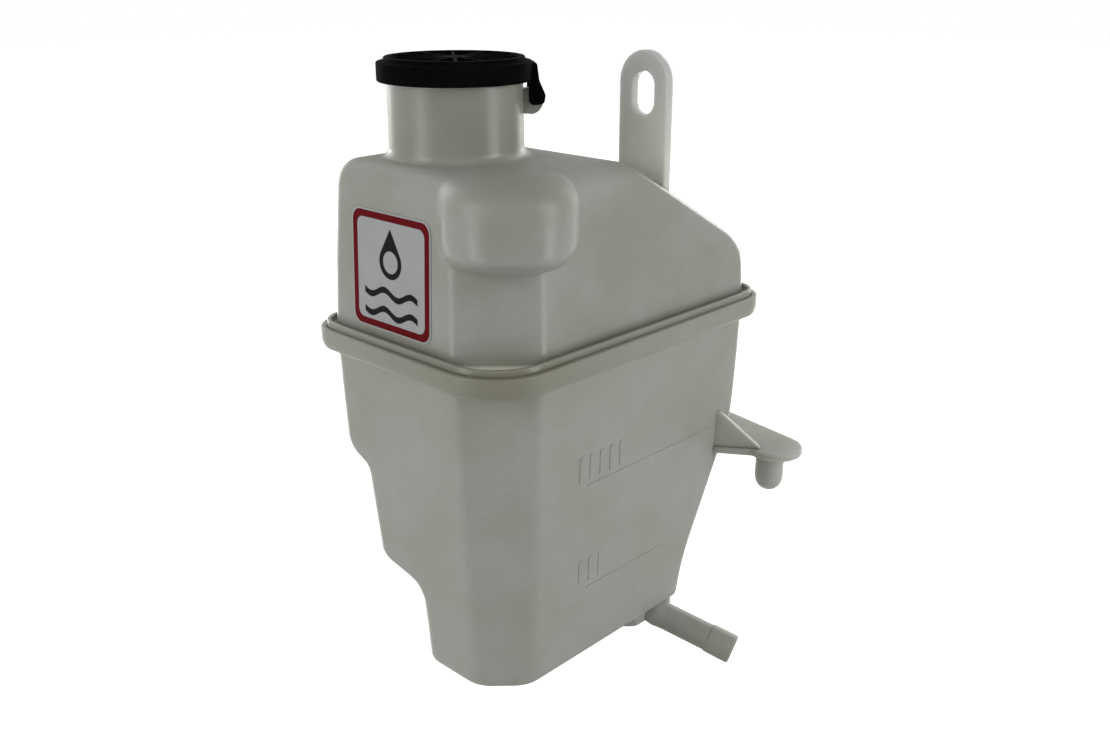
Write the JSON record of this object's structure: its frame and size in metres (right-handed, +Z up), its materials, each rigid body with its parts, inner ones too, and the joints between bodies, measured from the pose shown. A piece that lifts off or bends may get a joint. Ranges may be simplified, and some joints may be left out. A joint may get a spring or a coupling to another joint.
{
  "type": "coolant expansion tank",
  "caption": "Two-shell moulded coolant expansion tank with a welded waist flange, hinged snap cap on a round neck, slotted ear, locating peg and low hose nipple.",
  "frame": {"origin": "centre of the locating peg's root, on the underside of its arm", "axes": "+Z up along the tank's height, +X along the long side towards the arm, +Y from the nipple's side towards the stepped back wall"},
  "size_m": [0.182, 0.1341, 0.2673],
  "materials": {
    "lower_plastic": "translucent natural plastic with a fine grain",
    "natural_plastic": "translucent natural plastic, semi-gloss",
    "black_plastic": "moulded satin black",
    "seal_rubber": "matte",
    "label_vinyl": "printed film"
  },
  "bodies": {
    "tank": {"lower_shell": "lower_plastic", "upper_shell": "natural_plastic", "label": "label_vinyl"},
    "lid": {"cap": "black_plastic", "cap_seal": "seal_rubber"}
  },
  "joints": [
    {"name": "cap_hinge", "type": "hinge", "parent": "tank", "child": "lid", "pos_m": [-0.08933, 0.05964, 0.1614], "axis": [0.6428, 0.766, 0], "range_deg": [0, 115]}
  ]
}
